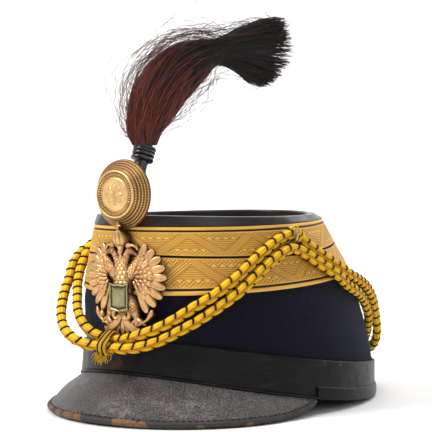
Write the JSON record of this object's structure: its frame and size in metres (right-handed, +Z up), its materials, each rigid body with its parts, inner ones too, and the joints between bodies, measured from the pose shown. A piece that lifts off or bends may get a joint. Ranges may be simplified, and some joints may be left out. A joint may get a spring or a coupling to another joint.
{
  "type": "shako hat",
  "caption": "Dress shako with leather peak and crown, gold lace, eagle plate, cockade, falling plume and braided cap cord.",
  "frame": {"origin": "on the surface the hat rests on, below the middle of its length and width without the cord", "axes": "+Z up, -Y towards the front of the hat, +X towards the wearer's left"},
  "size_m": [0.1794, 0.2517, 0.2427],
  "materials": {
    "navy_cloth": "very dark navy wool cloth, matt",
    "black_leather": "black leather, satin, crackled on the peak",
    "gold_lace": "woven gold metal thread with black lines",
    "gilt": "pale stamped gilt metal",
    "worn_edge": "black leather worn to copper brown",
    "horsehair": "black horsehair with red-brown strands",
    "yellow_cord": "bright yellow braid with black lines",
    "plate_metal": "tarnished greenish white metal"
  },
  "bodies": {
    "root": {"cloth_body": "navy_cloth", "crown_leather": "black_leather", "lace_upper": "gold_lace", "lace_lower": "gold_lace", "base_band": "black_leather", "edge_roll": "black_leather", "peak": "black_leather", "peak_edging": "worn_edge", "peak_welt": "black_leather", "cockade": "gilt", "plume_socket": "black_leather", "plume": "horsehair", "eagle_plate": "gilt", "shield_plate": "plate_metal", "hook_left": "gilt", "hook_right": "gilt", "cord_upper": "yellow_cord", "cord_lower": "yellow_cord", "cord_slide": "yellow_cord"}
  },
  "joints": []
}
